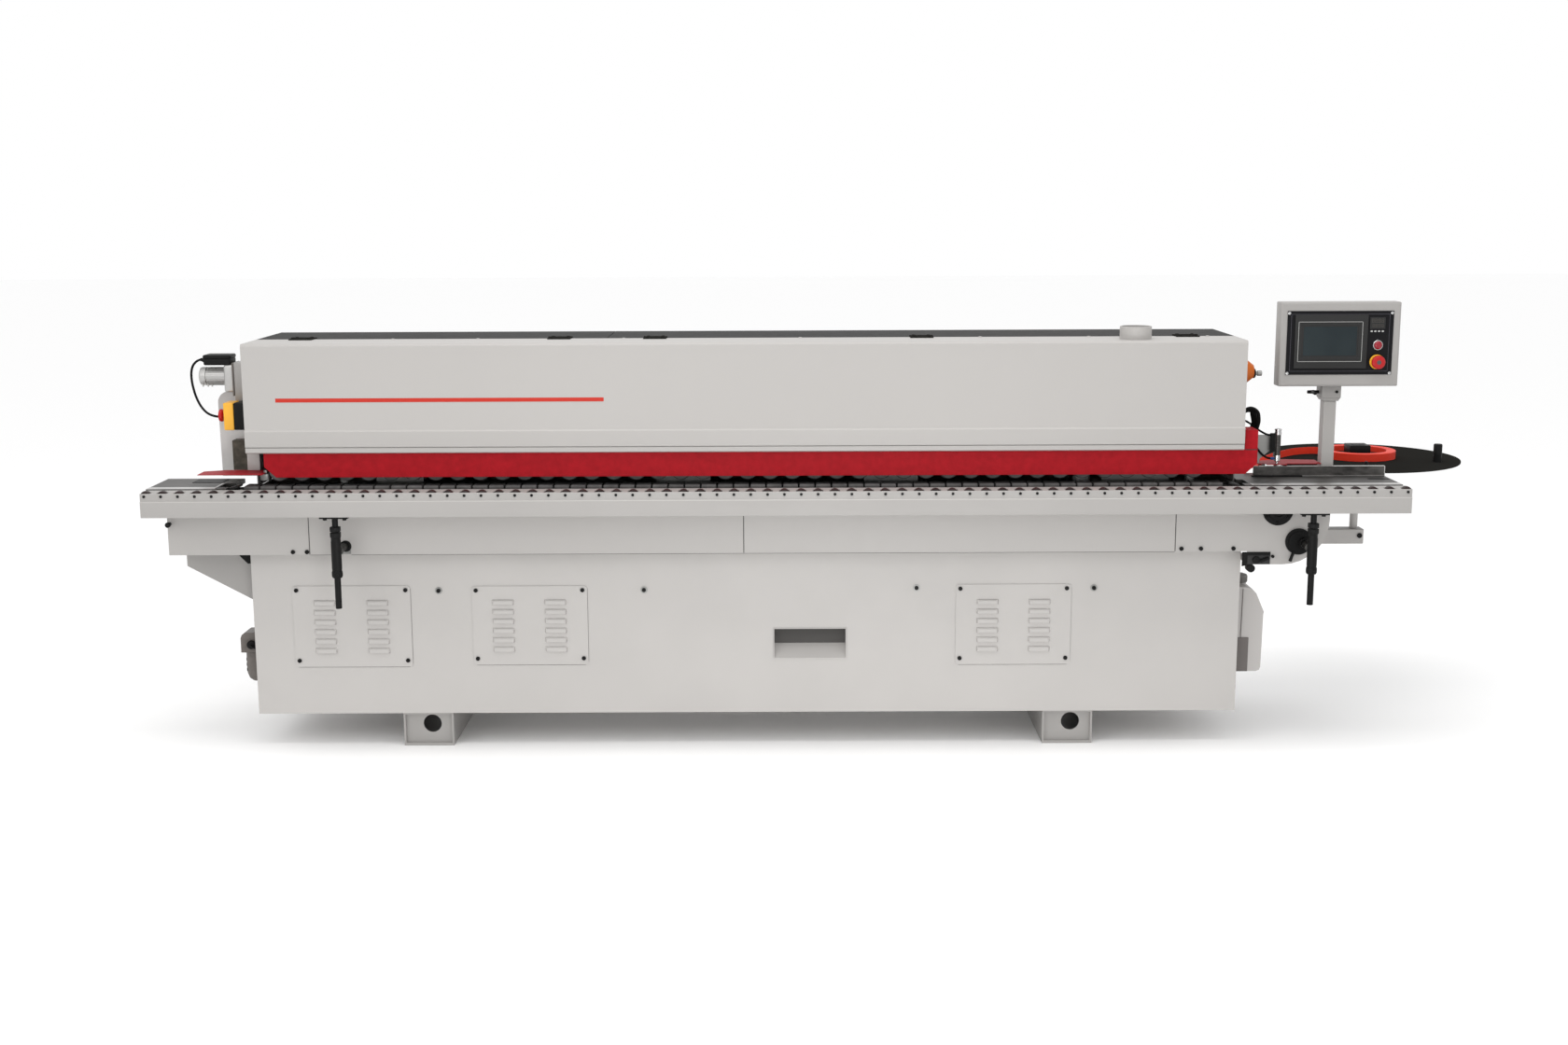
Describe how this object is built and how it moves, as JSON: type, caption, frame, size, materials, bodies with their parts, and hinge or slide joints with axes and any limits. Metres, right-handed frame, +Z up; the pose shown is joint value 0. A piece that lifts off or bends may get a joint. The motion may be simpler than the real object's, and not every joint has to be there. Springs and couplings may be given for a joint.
{
  "type": "edge banding machine",
  "caption": "Straight-line edge banding machine: long hooded cabinet with a padded feed track, outrigger roller rail, red pressure guard, swivel control panel and flat tape reel.",
  "frame": {"origin": "bottom centre of the bounding box, on the floor", "axes": "+X along the feed track towards the infeed end, -Y towards the operator, +Z up"},
  "size_m": [3.98, 0.947, 1.316],
  "materials": {
    "shell_paint": "fine textured satin powder coat",
    "dark_paint": "satin",
    "red_paint": "semi gloss",
    "red_plastic": "gloss",
    "black_rubber": "matte",
    "black_plastic": "satin",
    "black_paint": "satin",
    "zinc_steel": "zinc plated",
    "bright_steel": "ground",
    "cast_aluminium": "as cast",
    "felt": "matte felt",
    "orange_tape": "satin",
    "screen_plastic": "gloss",
    "tank_plastic": "translucent satin",
    "yellow_plastic": "satin"
  },
  "bodies": {
    "frame": {"air_filter_unit": "cast_aluminium", "base_cabinet": "shell_paint", "beam_cover_left": "shell_paint", "beam_cover_right": "shell_paint", "beam_panel_left": "shell_paint", "beam_panel_right": "shell_paint", "buffing_unit": "cast_aluminium", "chain_pads": "black_rubber", "dust_port": "shell_paint", "end_motor": "cast_aluminium", "end_trim_unit": "cast_aluminium", "estop_station": "yellow_plastic", "feed_motor": "dark_paint", "foot_channel_left": "shell_paint", "foot_channel_right": "shell_paint", "glue_pot": "cast_aluminium", "gusset_bracket_left": "shell_paint", "hood_end_left": "shell_paint", "hood_end_right": "shell_paint", "hood_front_cover": "shell_paint", "hood_rear_panel": "shell_paint", "infeed_table": "zinc_steel", "lift_column_left": "bright_steel", "lift_column_right": "bright_steel", "machine_deck": "zinc_steel", "outfeed_guard_plate": "red_paint", "outfeed_table": "zinc_steel", "panel_column": "shell_paint", "pocket_handle": "shell_paint", "rear_panel": "shell_paint", "reel_arm": "shell_paint", "release_agent_tank": "tank_plastic", "track_beam": "zinc_steel", "trim_unit": "cast_aluminium", "vent_panel_left": "shell_paint", "vent_panel_middle": "shell_paint", "vent_panel_right": "shell_paint"},
    "lid_left": {"hood_lid_left": "dark_paint"},
    "lid_right": {"hood_lid_right": "dark_paint"},
    "pressure_unit": {"pressure_beam": "zinc_steel", "pressure_wheels": "black_rubber", "pressure_guard": "red_paint"},
    "support_rail": {"roller_rail": "shell_paint", "roller_wheels": "black_plastic", "strut_left": "black_paint", "strut_right": "black_paint"},
    "panel_head": {"panel_box": "shell_paint", "panel_plate": "black_paint", "touch_screen": "screen_plastic"},
    "panel_lever": {"clamp_lever": "black_plastic"},
    "panel_stop_button": {"panel_estop_button": "red_plastic"},
    "side_stop_button": {"side_estop_button": "red_plastic"},
    "tape_reel": {"reel_disc": "dark_paint", "tape_roll": "orange_tape"},
    "drive_wheel": {"drive_sprocket": "bright_steel"},
    "idler_wheel": {"idler_sprocket": "bright_steel"},
    "glue_spindle": {"glue_roller": "bright_steel"},
    "saw_spindle": {"end_trim_saw": "bright_steel"},
    "cutter_spindle": {"trim_cutter": "bright_steel"},
    "buffing_spindle": {"buffing_wheel": "felt"}
  },
  "joints": [
    {"name": "lid_left_hinge", "type": "hinge", "parent": "frame", "child": "lid_left", "pos_m": [-1.148, -0.195, 1.2155], "axis": [1, 0, 0], "range_deg": [0, 95]},
    {"name": "lid_right_hinge", "type": "hinge", "parent": "frame", "child": "lid_right", "pos_m": [0.252, -0.195, 1.2155], "axis": [1, 0, 0], "range_deg": [0, 95]},
    {"name": "pressure_lift", "type": "slide", "parent": "frame", "child": "pressure_unit", "axis": [0, 0, 1], "range_m": [0, 0.045]},
    {"name": "support_rail_slide", "type": "slide", "parent": "frame", "child": "support_rail", "axis": [0, -1, 0], "range_m": [0, 0.26]},
    {"name": "panel_swivel", "type": "hinge", "parent": "frame", "child": "panel_head", "pos_m": [1.477, -0.1795, 1.05], "axis": [0, 0, 1], "range_deg": [-90, 90]},
    {"name": "panel_lever_turn", "type": "hinge", "parent": "panel_head", "child": "panel_lever", "pos_m": [1.436, -0.1795, 1.045], "axis": [1, 0, 0], "range_deg": [0, 120]},
    {"name": "panel_stop_press", "type": "slide", "parent": "panel_head", "child": "panel_stop_button", "axis": [0, 1, 0], "range_m": [0, 0.004]},
    {"name": "side_stop_press", "type": "slide", "parent": "frame", "child": "side_stop_button", "axis": [1, 0, 0], "range_m": [0, 0.005]},
    {"name": "reel_spin", "type": "hinge", "parent": "frame", "child": "tape_reel", "pos_m": [1.678, 0.1615, 0.8], "axis": [0, 0, 1], "continuous": true},
    {"name": "drive_spin", "type": "hinge", "parent": "frame", "child": "drive_wheel", "pos_m": [-1.738, -0.3275, 0.732], "axis": [0, 1, 0], "continuous": true},
    {"name": "idler_spin", "type": "hinge", "parent": "frame", "child": "idler_wheel", "pos_m": [1.148, -0.3275, 0.732], "axis": [0, 1, 0], "continuous": true},
    {"name": "glue_roller_spin", "type": "hinge", "parent": "frame", "child": "glue_spindle", "pos_m": [0.732, -0.2355, 0.835], "axis": [0, 0, 1], "continuous": true},
    {"name": "saw_spin", "type": "hinge", "parent": "frame", "child": "saw_spindle", "pos_m": [0.172, -0.2305, 0.88], "axis": [0, 1, 0], "continuous": true},
    {"name": "cutter_spin", "type": "hinge", "parent": "frame", "child": "cutter_spindle", "pos_m": [-0.448, -0.2305, 0.862], "axis": [0, 1, 0], "continuous": true},
    {"name": "buffing_spin", "type": "hinge", "parent": "frame", "child": "buffing_spindle", "pos_m": [-1.298, -0.2305, 0.875], "axis": [0, 1, 0], "continuous": true}
  ],
  "couplings": [
    {"joint": "idler_spin", "follows": "drive_spin", "ratio": 1}
  ]
}
